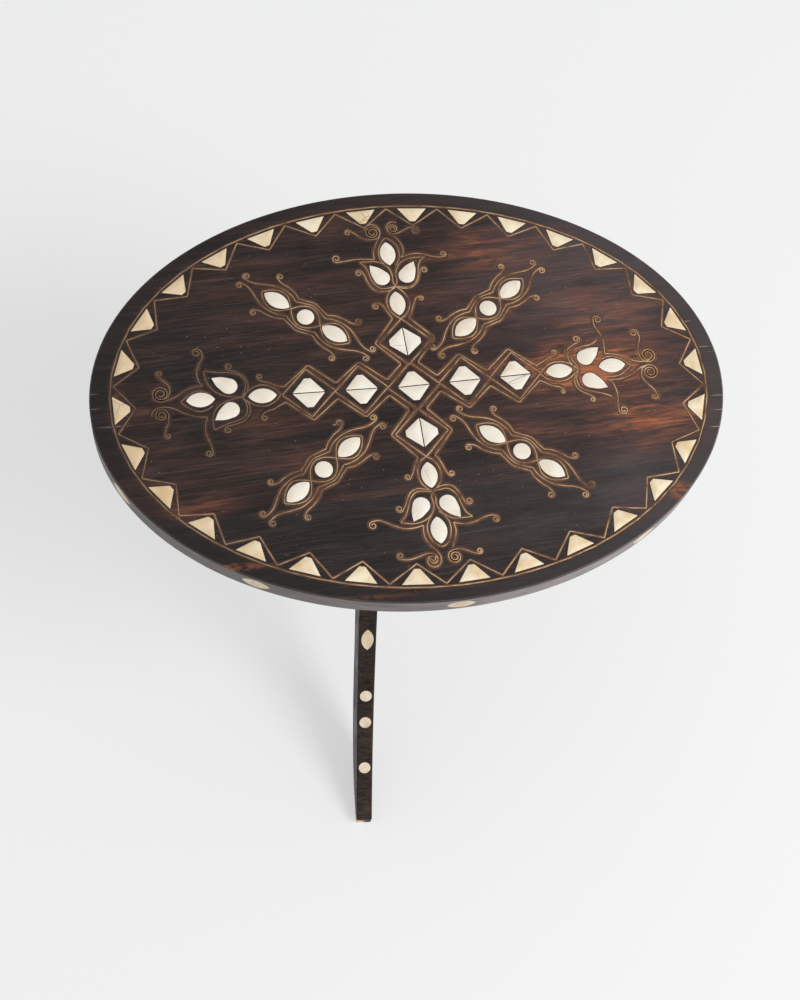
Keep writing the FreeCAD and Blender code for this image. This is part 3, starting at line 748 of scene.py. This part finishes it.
def zones_of(tree, zones):
    """How strongly a place on the top lies in soft oval zones."""
    place = add(tree, "TexCoord").outputs["Object"]
    total = 0.0
    for x, y, half_x, half_y, amount in zones:
        middle = on_top((x, y))
        size = (1 / (half_x * MM), 1 / (half_y * MM), 0)
        moved_in = add(tree, "Mapping", {"Vector": place, "Scale": size,
                                         "Location": (-middle.x * size[0], -middle.y * size[1], 0)})
        away = add(tree, "VectorMath", {0: moved_in.outputs[0]}, operation="LENGTH").outputs["Value"]
        total = calc(tree, "ADD", mask(tree, away, 0.15, 1.25, amount, 0.0), total)
    return total


# Colours, by what they are on

BLACK_WOOD = colour_of(29, 24, 23)
BROWN_WOOD = colour_of(50, 36, 32)
GREY_BROWN_WOOD = colour_of(42, 36, 35)
ORANGE_WOOD = colour_of(150, 86, 50)
RED_WOOD = colour_of(92, 52, 42)
# The grey of a painted sheen, laid on the top's colour in soft zones
SHEEN_GREY = colour_of(104, 96, 98)
HAIR_BROWN = colour_of(112, 80, 66)
DUST_GREY = colour_of(150, 142, 138)
WIRE_RUB = colour_of(90, 62, 46)
BASE_WOODS = (colour_of(42, 34, 32), colour_of(58, 46, 42), colour_of(84, 60, 48))
PEG_WOODS = (colour_of(48, 34, 26), colour_of(86, 60, 42), colour_of(120, 88, 62))
BARE_WOOD = colour_of(196, 164, 134)
# The border's own dark colour, and the grey of the painted sheen it is given towards the right
BORDER_LEFT = colour_of(26, 22, 22)
BORDER_SHEEN_GREY = colour_of(70, 64, 64)
BORDER_RUB = colour_of(134, 80, 54)
CHIP_PALE = colour_of(190, 176, 160)
# The upright edge: a dusty grey that is partly painted sheen. It is multiplied by painted shade on the left
# and painted light on the right
EDGE_DUST_AND_SHEEN_TONES = tones_of((0.3, 104, 98, 97), (0.5, 140, 134, 132), (0.7, 168, 162, 159))
EDGE_PAINTED_SHADE = colour_of(196, 193, 192)
EDGE_PAINTED_LIGHT = (1.1, 1.1, 1.1, 1.0)
IVORY = (colour_of(231, 224, 211), colour_of(224, 212, 193))
YELLOW_BONE = (colour_of(234, 221, 194), colour_of(216, 190, 148))
SIDE_BONE = (colour_of(222, 208, 186), colour_of(198, 174, 142))
AGED_BONE = colour_of(196, 166, 124)
CRACK_BROWN = colour_of(96, 74, 54)
WIRE_TONES = tones_of((0.34, 104, 76, 56), (0.48, 170, 134, 98), (0.64, 208, 174, 134))
DULL_WIRE = colour_of(96, 76, 62)
MASTIC_TONES = tones_of((0.38, 20, 16, 15), (0.6, 46, 36, 32), (0.72, 80, 64, 54))

# Soft oval zones on the top, each with the x and y of its middle, its half length and half height in
# millimetres, and how much it adds

WARM_ZONES = ((146, 4, 86, 24, 0.82), (160, 0, 36, 16, 0.8), (205, -48, 60, 24, 0.62),
              (85, 130, 80, 34, 0.5), (180, 60, 80, 60, 0.35), (170, -10, 110, 110, 0.34),
              (-120, -18, 65, 22, 0.3), (-226, -20, 36, 60, 0.2), (-190, -92, 60, 22, 0.3),
              (40, 12, 60, 16, 0.25), (-90, 100, 120, 50, 0.05), (0, -45, 26, 30, 0.3),
              (78, 70, 42, 30, 0.2), (82, -71, 36, 28, 0.2), (-88, -70, 40, 30, 0.2),
              (185, -125, 50, 22, 0.3))
# Zones of painted sheen: where grey is laid on the top's colour, mostly towards the right
SHEEN_ZONES = ((210, 40, 170, 190, 0.3), (80, -120, 150, 60, 0.22), (150, 110, 120, 90, 0.3),
              (190, -110, 70, 50, 0.3))
RUBBED_ZONES = ((212, -122, 13, 9, 1.3), (-172, -149, 34, 4, 0.8), (-75, -187, 60, 3, 0.3),
                (-252, 12, 8, 26, 0.3))
PALE_SPOTS = ((-71, -30, 4, 1.2, 0.7), (253, 40, 7, 0.5, 0.5), (264, 13, 9, 0.5, 0.4),
              (266, -36, 7, 0.5, 0.5), (264, -50, 7, 0.5, 0.4), (257, -66, 6, 0.6, 0.5),
              (-272, 19, 6, 0.5, 0.2), (-272, 5, 7, 0.5, 0.2), (-256, -13, 16, 0.6, 0.25))
DULL_ZONES = ((-200, 5, 90, 70, 0.5), (-190, 0, 150, 230, 0.6), (0, 150, 70, 40, 0.4))
dull_most = 0.75
aged_most = 0.6

# Where things lie on the top and the foot, for the materials: shares of the rim's reach, places in metres
border_share_from = 0.93
border_share_to = 0.965
# Across X, in metres: where the rim's painted sheen and painted light begin, and where they are full
painted_light_from_x = -0.15
painted_light_to_x = 0.28
foot_wear_from = 0.010
foot_wear_to = 0.014
foot_wear_wander = 0.006
plank_skew = 3.3
hair_skew = 1.5


def wood(name, tones, turn=0.0, shift=(0, 0, 0), warmth=0.0, along=(15.0, 92.0, 92.0), top=False,
         stained=False, rim=False, foot=False):
    """Old stained wood: dark tones in low streaks along the grain, red-brown zones, grain lines and dust, and
    on the top a grey painted sheen.
    """
    made, tree, shader = material_of(name, {"Specular IOR Level": 0.24 if top else 0.12})
    dark, middle, warm = tones
    broad = noise_of(tree, tuple(scale * 0.35 for scale in along), 5.0, 0.6, 0.6, turn, shift)
    streak = noise_of(tree, along, 6.0, 0.68, 0.5, turn, shift)
    fine = noise_of(tree, (along[0] * 2.4, along[1] * 12, along[2] * 12), 4.0, 0.7, 0.2, turn, shift)
    colour = mix(tree, mask(tree, broad, 0.38, 0.66), dark, middle)
    redness = calc(tree, "ADD", mask(tree, broad, 0.5, 0.76, 0.0, 0.3), warmth)
    if top:
        redness = calc(tree, "ADD", redness, zones_of(tree, WARM_ZONES))
    redness = calc(tree, "MULTIPLY", redness, mask(tree, streak, 0.34, 0.62, 0.22, 1.0))
    tint = ramp(tree, redness, ((0.15, RED_WOOD), (0.85, warm))) if top else warm
    colour = mix(tree, calc(tree, "MINIMUM", redness, 1.0), colour, tint)
    if foot:
        colour = mix(tree, worn_foot(tree), colour, BARE_WOOD)
    lines = mask(tree, fine, 0.34, 0.64, 0.55, 1.5)
    grain = calc(tree, "MULTIPLY", lines, mask(tree, streak, 0.3, 0.7, 0.72, 1.3))
    colour = add(tree, "VectorMath", {0: colour, "Scale": grain}, operation="SCALE").outputs[0]
    if top:
        # Painted sheen: grey laid on in soft patches inside the sheen zones, standing in for reflected light
        sheen_patches = noise_of(tree, (26, 60, 60), 5.0, 0.7, 0.4)
        colour = mix(tree, calc(tree, "MULTIPLY", zones_of(tree, SHEEN_ZONES), sheen_patches), colour, SHEEN_GREY)
        hair = noise_of(tree, (along[0], along[1] * 6, along[2] * 6), 3.0, 0.6, 0.6, turn + hair_skew, shift)
        colour = mix(tree, mask(tree, hair, 0.54, 0.7, 0.0, 0.2), colour, HAIR_BROWN)
        colour = mix(tree, dust(tree), colour, DUST_GREY)
    rough = mask(tree, noise_of(tree, (38, 38, 38), 6.0, 0.7), 0.3, 0.75, 0.34, 0.56)
    if stained:
        colour = mix(tree, rubbed_share(tree), colour, WIRE_RUB)
    if rim:
        colour, rough = rim_look(tree, colour, rough)
    low_part = calc(tree, "MULTIPLY", streak, 0.6)
    fine_part = calc(tree, "MULTIPLY", fine, 0.3)
    dress(tree, shader, colour, rough, calc(tree, "ADD", low_part, fine_part), 0.0003)
    return made


def rubbed_share(tree):
    """How far the wood beside a wire is rubbed brown: by the band's own fade, less where all is dull."""
    tag = add(tree, "Attribute", attribute_name="fade").outputs["Fac"]
    rub = noise_of(tree, (60, 60, 60), 4.0, 0.65)
    share = calc(tree, "MULTIPLY", tag, mask(tree, rub, 0.25, 0.6, 0.35, 1.0))
    dull = calc(tree, "MINIMUM", zones_of(tree, DULL_ZONES), dull_most)
    return calc(tree, "MULTIPLY", share, calc(tree, "SUBTRACT", 1.0, dull))


def worn_foot(tree):
    """The bare corner at the toe of the leg in front."""
    toe = tuple(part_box("leg_front")[0])
    place = add(tree, "TexCoord").outputs["Object"]
    away = add(tree, "VectorMath", {0: place, 1: toe}, operation="DISTANCE").outputs["Value"]
    wander = calc(tree, "MULTIPLY", noise_of(tree, (300, 300, 300), 3.0, 0.6), foot_wear_wander)
    return mask(tree, calc(tree, "ADD", away, wander), foot_wear_from, foot_wear_to, 0.9, 0.0)


def dust(tree):
    """Small pale specks, in loose patches."""
    place = places_of(tree, (170, 170, 170))
    spots = add(tree, "TexVoronoi", {"Vector": place, "Scale": 1.0}).outputs["Distance"]
    patch = noise_of(tree, (14, 14, 14), 3.0, 0.6)
    return calc(tree, "MULTIPLY", mask(tree, spots, 0.03, 0.1, 0.75, 0.0), mask(tree, patch, 0.46, 0.6))


def rim_look(tree, colour, rough):
    """The border outside the line wire is duller, rubbed and chipped, and takes a grey painted sheen towards
    the right; the upright edge is bare and grey, its grey partly painted sheen, with painted shade on the left
    and painted light on the right.
    """
    place = add(tree, "TexCoord").outputs["Object"]
    flat = add(tree, "Mapping", {"Vector": place, "Location": tuple(-top_middle)}).outputs[0]
    size = (1 / top_half_length, 1 / (top_high.y - top_middle.y), 0)
    shares = add(tree, "VectorMath", {0: flat, 1: size}, operation="MULTIPLY").outputs[0]
    reach = add(tree, "VectorMath", {0: shares}, operation="LENGTH").outputs["Value"]
    edge = mask(tree, reach, border_share_from, border_share_to, 0.0, 0.6)
    # Painted light: this mask grows from left to right. It makes the border greyer as painted sheen and the
    # upright edge lighter as painted light, towards the lamp on the right
    side = mask(tree, add(tree, "SeparateXYZ", {0: flat}).outputs["X"], painted_light_from_x, painted_light_to_x)
    colour = mix(tree, edge, colour, mix(tree, side, BORDER_LEFT, BORDER_SHEEN_GREY))
    mottle = mask(tree, noise_of(tree, (90, 240, 90), 5.0, 0.7), 0.42, 0.58)
    rubbed = calc(tree, "MULTIPLY", zones_of(tree, RUBBED_ZONES), mottle)
    colour = mix(tree, calc(tree, "MINIMUM", rubbed, 1.0), colour, BORDER_RUB)
    colour = mix(tree, calc(tree, "MINIMUM", zones_of(tree, PALE_SPOTS), 1.0), colour, CHIP_PALE)
    normal = add(tree, "SeparateXYZ", {0: add(tree, "NewGeometry").outputs["Normal"]}).outputs["Z"]
    upright = mask(tree, calc(tree, "ABSOLUTE", normal), 0.5, 0.8, 1.0, 0.0)
    # The upright edge's grey is partly dust and partly painted sheen. It is then painted darker to the left as
    # painted shade and lighter to the right as painted light
    bare = ramp(tree, noise_of(tree, (36, 36, 420), 6.0, 0.7), EDGE_DUST_AND_SHEEN_TONES)
    bare = mix(tree, 1.0, bare, mix(tree, side, EDGE_PAINTED_SHADE, EDGE_PAINTED_LIGHT), "MULTIPLY")
    rough = calc(tree, "MAXIMUM", rough, calc(tree, "MULTIPLY", upright, 0.5))
    return mix(tree, upright, colour, bare), rough


def bone_look(name, tones, crack_level, aged=False):
    """Old bone: ivory with faint long fibres and hairline cracks, and yellower where aged."""
    made, tree, shader = material_of(name, {"Subsurface Weight": 0.08,
                                            "Subsurface Radius": (0.002, 0.0014, 0.0009)})
    pale, deep = tones
    broad = noise_of(tree, (55, 55, 55), 3.0, 0.55)
    fibre = noise_of(tree, (60, 700, 60), 2.0, 0.5, 0.2, 25.0)
    colour = ramp(tree, broad, ((0.34, deep), (0.62, pale)))
    colour = mix(tree, mask(tree, fibre, 0.6, 0.76, 0.0, 0.14), colour, deep, "MULTIPLY")
    if aged:
        age = calc(tree, "MINIMUM", zones_of(tree, DULL_ZONES), aged_most)
        colour = mix(tree, age, colour, AGED_BONE)
    cells = add(tree, "TexVoronoi", {"Vector": places_of(tree, (42, 70, 42), 12.0), "Scale": 1.0},
                feature="DISTANCE_TO_EDGE").outputs["Distance"]
    crack_parts = mask(tree, noise_of(tree, (30, 30, 30), 2.0, 0.5), 0.6, 0.68)
    crack = calc(tree, "MULTIPLY", mask(tree, cells, 0.0, 0.014, 1.0, 0.0), crack_parts)
    colour = mix(tree, calc(tree, "MULTIPLY", crack, crack_level), colour, CRACK_BROWN)
    rough = mask(tree, broad, 0.3, 0.7, 0.36, 0.5)
    dress(tree, shader, colour, rough, calc(tree, "SUBTRACT", fibre, crack), 0.00015)
    return made


def wire_look(name):
    """Brass-copper wire, rubbed bright in places, dark and dull in others."""
    made, tree, shader = material_of(name, {"Metallic": 0.55})
    patch = noise_of(tree, (70, 70, 70), 4.0, 0.6)
    dull = calc(tree, "MINIMUM", zones_of(tree, DULL_ZONES), dull_most)
    colour = mix(tree, dull, ramp(tree, patch, WIRE_TONES), DULL_WIRE)
    rough = mask(tree, patch, 0.35, 0.6, 0.62, 0.42)
    dress(tree, shader, colour, rough, noise_of(tree, (900, 900, 900), 2.0, 0.6), 0.00005)
    return made


def mastic_look(name):
    """The dark, gritty filling round each bone piece."""
    made, tree, shader = material_of(name, {})
    grit = noise_of(tree, (700, 700, 700), 4.0, 0.7)
    rough = mask(tree, grit, 0.3, 0.7, 0.5, 0.8)
    dress(tree, shader, ramp(tree, grit, MASTIC_TONES), rough, grit, 0.0002)
    return made


# Lay the materials on the frame's own nodes

TOP_WOODS = (BLACK_WOOD, BROWN_WOOD, ORANGE_WOOD)
FRONT_WOODS = (BLACK_WOOD, GREY_BROWN_WOOD, ORANGE_WOOD)
plank_tones = (FRONT_WOODS, TOP_WOODS, TOP_WOODS, TOP_WOODS)
plank_warmths = (-0.12, 0.0, 0.0, 0.03)
plank_shift = Vector((3.1, 1.7, 0))

plank_looks = {}
for number, (name, tones, warmth) in enumerate(zip(PLANKS, plank_tones, plank_warmths)):
    plank_looks[name] = wood("wood_" + name, tones, plank_skew, number * plank_shift, warmth, top=True,
                             rim=True)
base_wood = wood("wood_base", BASE_WOODS, along=(60, 60, 6), foot=True)
peg_wood = wood("wood_peg", PEG_WOODS, along=(70, 70, 9))
bone_top = bone_look("bone_ivory", IVORY, 0.7)
bone_border = bone_look("bone_yellow", YELLOW_BONE, 0.8, aged=True)
bone_side = bone_look("bone_side", SIDE_BONE, 0.8)
wire_metal = wire_look("wire_copper")
mastic = mastic_look("mastic_black")

for name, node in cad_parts.items():
    if name in plank_looks:
        look = plank_looks[name]
    elif name.endswith("_inlays") or name == "rim_almonds":
        look = bone_side
    elif name in ("leg_pegs", "arm_dowels", "batten_pegs", "plank_tenons"):
        look = peg_wood
    else:
        look = base_wood
    node.data.materials.clear()
    node.data.materials.append(look)


# The bone pieces

wander = random.Random(bone_seed)


def let_in(name, outlines_of, material):
    verts, faces = bone_mesh(outlines_of(0.0), outlines_of(-bone_edge), wander, on_top)
    piece = new_piece(name + "_worn", verts, faces, material)
    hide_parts(name)
    return piece


bone_groups = (("diamond_halves", diamonds, bone_top), ("arm_almonds", arm_almonds, bone_top),
               ("flower_petals", petals, bone_top), ("diagonal_almonds", group_almonds, bone_top),
               ("diagonal_discs", discs, bone_top), ("border_triangles", triangles, bone_border))
for name, outlines_of, look in bone_groups:
    let_in(name, outlines_of, look)

ring = mastic_width / 2
mastic_section = [(-ring, -mastic_sink), (ring, -mastic_sink), (ring, mastic_rise), (-ring, mastic_rise)]
ring_lines = []
for _, outlines_of, _ in bone_groups:
    ring_lines += [(outline, True) for outline in outlines_of(ring - mastic_overlap)]
verts, faces, _ = sweep(ring_lines, mastic_section)
new_piece("mastic_rings", verts, faces, mastic)


# The wires, and the wood rubbed brown beside them

def band_section(half, sink, edge_rise, shoulder, rise):
    """A flat-bottomed section with a raised middle, as (across, up), from its lower left corner round."""
    return [(-half, -sink), (half, -sink), (half, edge_rise), (half * shoulder, rise),
            (-half * shoulder, rise), (-half, edge_rise)]


wire_section = band_section(wire_half_width, wire_sink, wire_rise * wire_shoulder_rise, wire_shoulder_width,
                            wire_rise)
stain_fades = [0.0, 0.0, 0.0, 1.0, 1.0, 0.0]
wire_groups = (("lozenge_wires", lozenges(), "lozenge_wires", 1.0),
               ("border_wire", border_line(), "border_wire", stain_border_share),
               ("zigzag_wire", zigzag(), "zigzag_wire", stain_border_share),
               ("scroll_wires", scrolls(), None, 1.0))
stain = wood("wood_rubbed", TOP_WOODS, plank_skew, top=True, stained=True)
for name, lines, node, stain_share in wire_groups:
    verts, faces, _ = sweep(lines, wire_section, wobble=wire_wobble, taper=wire_end_taper)
    piece = new_piece(name + "_fine", verts, faces, wire_metal)
    if node:
        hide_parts(node)
    stain_section = band_section(stain_half_width * stain_share, stain_sink, stain_edge_rise, stain_shoulder,
                                 stain_rise)
    verts, faces, fade = sweep(lines, stain_section, stain_fades, lift=stain_lift)
    new_piece(name + "_rub", verts, faces, stain, fade)


# Floor, light and camera

floor_reach = 12.0
floor_colour = (0.82, 0.82, 0.825, 1)
floor_glow = (0.895, 0.9, 0.905, 1)
floor_pale_share = 0.55
key_place = (2.2, -1.5, 3.0)
key_size = 2.0
key_power = 95
world_strength = 0.66
camera_pitch = 65.32
camera_roll = 14.63
camera_turn = 20.61
camera_lens = 57.27
camera_from_top = (-0.21997, -0.62247, 1.20152)


def floor():
    """A plain pale floor, which looks a little paler than it is lit to the camera and in reflections."""
    mesh = bpy.data.meshes.new("floor")
    corners = [(x * floor_reach, y * floor_reach, 0) for x, y in ((-1, -1), (1, -1), (1, 1), (-1, 1))]
    mesh.from_pydata(corners, [], [(0, 1, 2, 3)])
    made, tree, shader = material_of("floor_pale", {"Base Color": floor_colour, "Roughness": 0.7,
                                                    "Specular IOR Level": 0.2})
    pale = add(tree, "Emission", {"Color": floor_glow, "Strength": 1.0})
    path = add(tree, "LightPath").outputs
    seen = 0.0
    for ray in ("Is Camera Ray", "Is Glossy Ray", "Is Transmission Ray"):
        seen = calc(tree, "MAXIMUM", path[ray], seen)
    seen = calc(tree, "MULTIPLY", seen, floor_pale_share)
    both = add(tree, "MixShader", {0: seen, 1: shader.outputs[0], 2: pale.outputs[0]})
    tree.links.new(both.outputs[0], tree.nodes["Material Output"].inputs["Surface"])
    mesh.materials.append(made)
    piece = new_object("floor", mesh)


def lamp(name, place, size, power):
    """A round lamp that points at the top."""
    data = bpy.data.lights.new(name, "AREA")
    data.shape = "DISK"
    data.size = size
    data.energy = power
    made = new_object(name, data)
    made.location = place
    aim = top_middle - Vector(place)
    made.rotation_euler = aim.to_track_quat("-Z", "Y").to_euler()


def camera():
    """The photo's viewpoint: looking down by the pitch, then rolled, from beside the front leg."""
    pitch, roll, turn = (math.radians(angle) for angle in (camera_pitch, camera_roll, camera_turn))
    forward = Vector((0, math.cos(pitch), -math.sin(pitch)))
    right = Vector((1, 0, 0))
    up = Vector((0, math.sin(pitch), math.cos(pitch)))
    across = right * math.cos(roll) + up * math.sin(roll)
    upward = up * math.cos(roll) - right * math.sin(roll)
    spin = Matrix.Rotation(-turn, 3, "Z")
    axes = Matrix([spin @ across, spin @ upward, spin @ -forward]).transposed()
    data = bpy.data.cameras.new("camera")
    data.lens = camera_lens
    data.sensor_width = 36.0
    made = new_object("camera", data)
    made.matrix_world = Matrix.LocRotScale(top_middle + Vector(camera_from_top), axes, None)
    bpy.context.scene.camera = made


floor()
lamp("key", key_place, key_size, key_power)
world = bpy.data.worlds.new("studio")
world.use_nodes = True
world.node_tree.nodes["Background"].inputs["Color"].default_value = (1, 1, 1, 1)
world.node_tree.nodes["Background"].inputs["Strength"].default_value = world_strength
bpy.context.scene.world = world
bpy.context.scene.view_settings.view_transform = "Standard"
camera()
